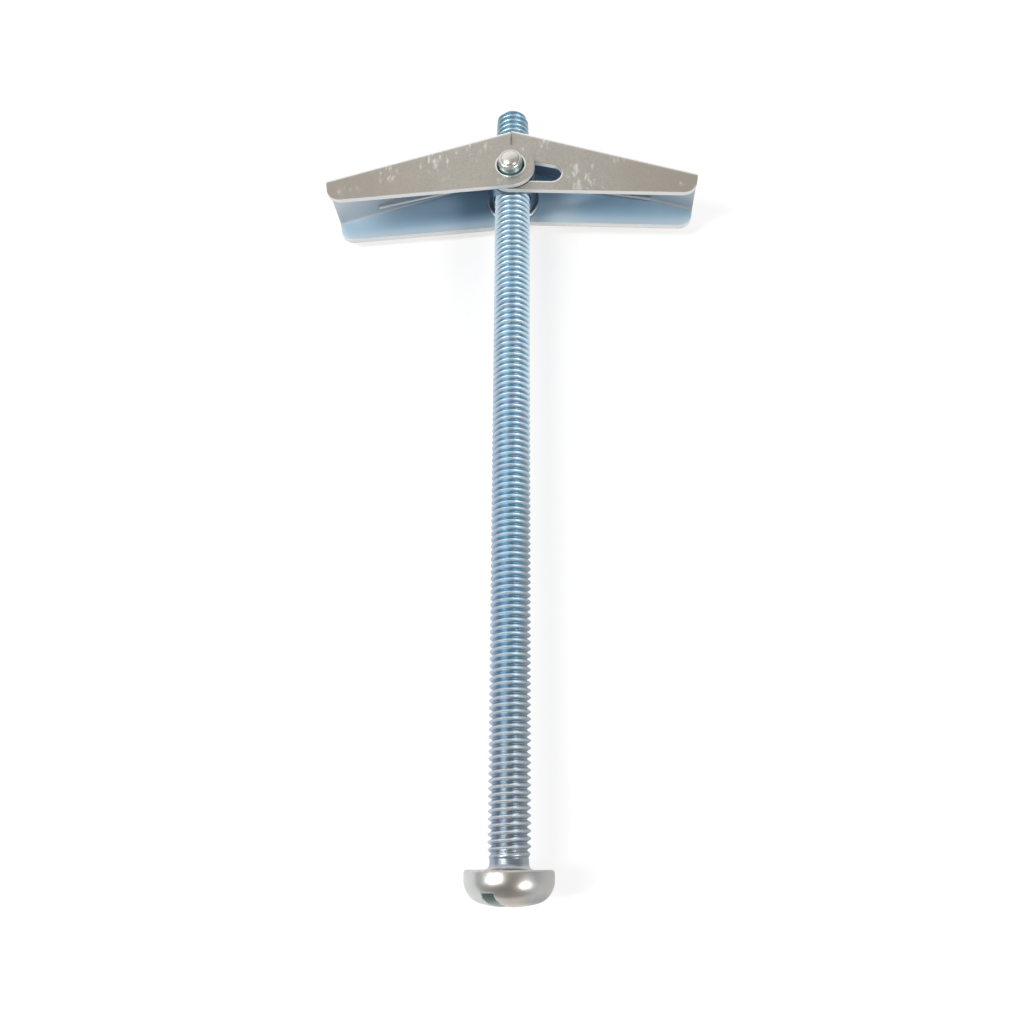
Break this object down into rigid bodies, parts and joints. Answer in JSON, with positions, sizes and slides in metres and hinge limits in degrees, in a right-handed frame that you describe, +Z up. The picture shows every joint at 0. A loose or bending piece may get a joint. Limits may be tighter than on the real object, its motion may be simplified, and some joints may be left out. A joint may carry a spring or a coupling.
{
  "type": "spring toggle bolt",
  "caption": "Slotted pan-head machine screw with a trunnion nut near its tip and folded channel wings that a torsion spring holds open behind a hollow wall.",
  "frame": {"origin": "centre of the flat face under the screw head, on the screw's axis", "axes": "+Y along the screw from the head to the tip, +Z up along the wings' pivot pin, +X to the right wing; the bolt lies flat"},
  "size_m": [0.0498, 0.1037, 0.013],
  "materials": {
    "screw_zinc": "bright zinc plate",
    "nut_zinc": "bright zinc plate",
    "wing_zinc": "bright zinc plate",
    "spring_wire": "drawn spring wire"
  },
  "bodies": {
    "screw": {"machine_screw": "screw_zinc"},
    "nut": {"trunnion_nut": "nut_zinc", "torsion_spring": "spring_wire"},
    "left_wing": {"left_wing": "wing_zinc"},
    "right_wing": {"right_wing": "wing_zinc"}
  },
  "joints": [
    {"name": "nut_travel", "type": "slide", "parent": "screw", "child": "nut", "axis": [0, 1, 0], "range_m": [-0.06, 0.007]},
    {"name": "left_wing_fold", "type": "hinge", "parent": "nut", "child": "left_wing", "pos_m": [0, 0.0886, 0], "axis": [0, 0, 1], "range_deg": [0, 74], "stiffness_Nm_per_rad": 0.02, "springref_deg": -34.38, "deforming": ["torsion_spring"]},
    {"name": "right_wing_fold", "type": "hinge", "parent": "nut", "child": "right_wing", "pos_m": [0, 0.0886, 0], "axis": [0, 0, -1], "range_deg": [0, 74], "stiffness_Nm_per_rad": 0.02, "springref_deg": -34.38, "deforming": ["torsion_spring"]}
  ]
}
